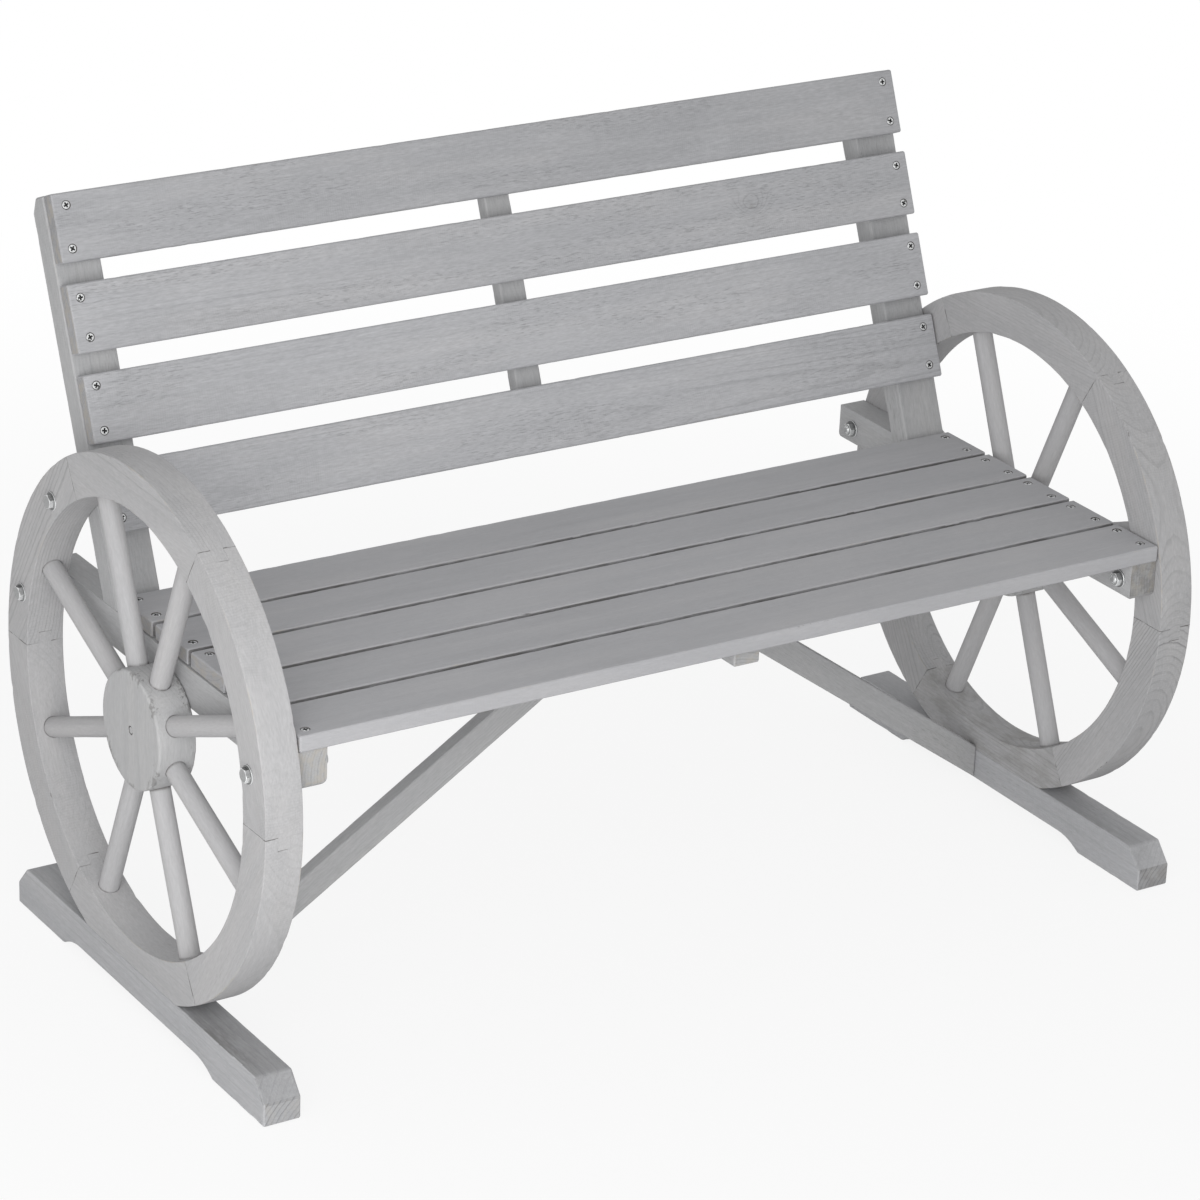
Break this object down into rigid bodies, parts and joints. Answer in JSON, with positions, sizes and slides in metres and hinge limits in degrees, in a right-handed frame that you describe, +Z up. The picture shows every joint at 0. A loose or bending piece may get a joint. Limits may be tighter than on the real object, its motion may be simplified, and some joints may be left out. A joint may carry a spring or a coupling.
{
  "type": "wagon wheel bench",
  "caption": "Garden bench with a slatted seat and a leaning slatted back, bolted between spoked wooden wagon wheels that stand on skids and are tied by diagonal braces.",
  "frame": {"origin": "on the floor, under the middle of the bench's outline", "axes": "+X along the bench's length to the right of someone facing it, -Y the way the bench faces, +Z up"},
  "size_m": [1.0918, 0.5592, 0.7537],
  "materials": {
    "seat_slats": "grey-washed softwood, wire-brushed, matt",
    "back_slats": "grey-washed softwood, wire-brushed, matt",
    "frame": "grey-washed softwood, wire-brushed, matt",
    "skid": "grey-washed softwood, wire-brushed, matt",
    "rim": "grey-washed softwood, wire-brushed, matt",
    "spoke": "grey-washed softwood, wire-brushed, matt",
    "hub": "grey-washed softwood, wire-brushed, matt",
    "zinc": "bright zinc plate, semi-gloss"
  },
  "bodies": {
    "root": {"seat_slat_1": "seat_slats", "seat_slat_2": "seat_slats", "seat_slat_3": "seat_slats", "seat_slat_4": "seat_slats", "seat_slat_5": "seat_slats", "back_slat_1": "back_slats", "back_slat_2": "back_slats", "back_slat_3": "back_slats", "back_slat_4": "back_slats", "back_stile": "frame", "seat_bearer": "frame", "post_left": "frame", "rail_left": "frame", "brace_left": "frame", "skid_left": "skid", "hub_left": "hub", "spoke_left_1": "spoke", "spoke_left_2": "spoke", "spoke_left_3": "spoke", "spoke_left_4": "spoke", "spoke_left_5": "spoke", "spoke_left_6": "spoke", "spoke_left_7": "spoke", "spoke_left_8": "spoke", "felloe_left_1": "rim", "felloe_left_2": "rim", "felloe_left_3": "rim", "felloe_left_4": "rim", "felloe_left_5": "rim", "felloe_left_6": "rim", "bolt_left_front": "zinc", "bolt_left_rear": "zinc", "bolt_left_post": "zinc", "nut_left_front": "zinc", "nut_left_rear": "zinc", "post_right": "frame", "rail_right": "frame", "brace_right": "frame", "skid_right": "skid", "hub_right": "hub", "spoke_right_1": "spoke", "spoke_right_2": "spoke", "spoke_right_3": "spoke", "spoke_right_4": "spoke", "spoke_right_5": "spoke", "spoke_right_6": "spoke", "spoke_right_7": "spoke", "spoke_right_8": "spoke", "felloe_right_1": "rim", "felloe_right_2": "rim", "felloe_right_3": "rim", "felloe_right_4": "rim", "felloe_right_5": "rim", "felloe_right_6": "rim", "bolt_right_front": "zinc", "bolt_right_rear": "zinc", "bolt_right_post": "zinc", "nut_right_front": "zinc", "nut_right_rear": "zinc"}
  },
  "joints": []
}
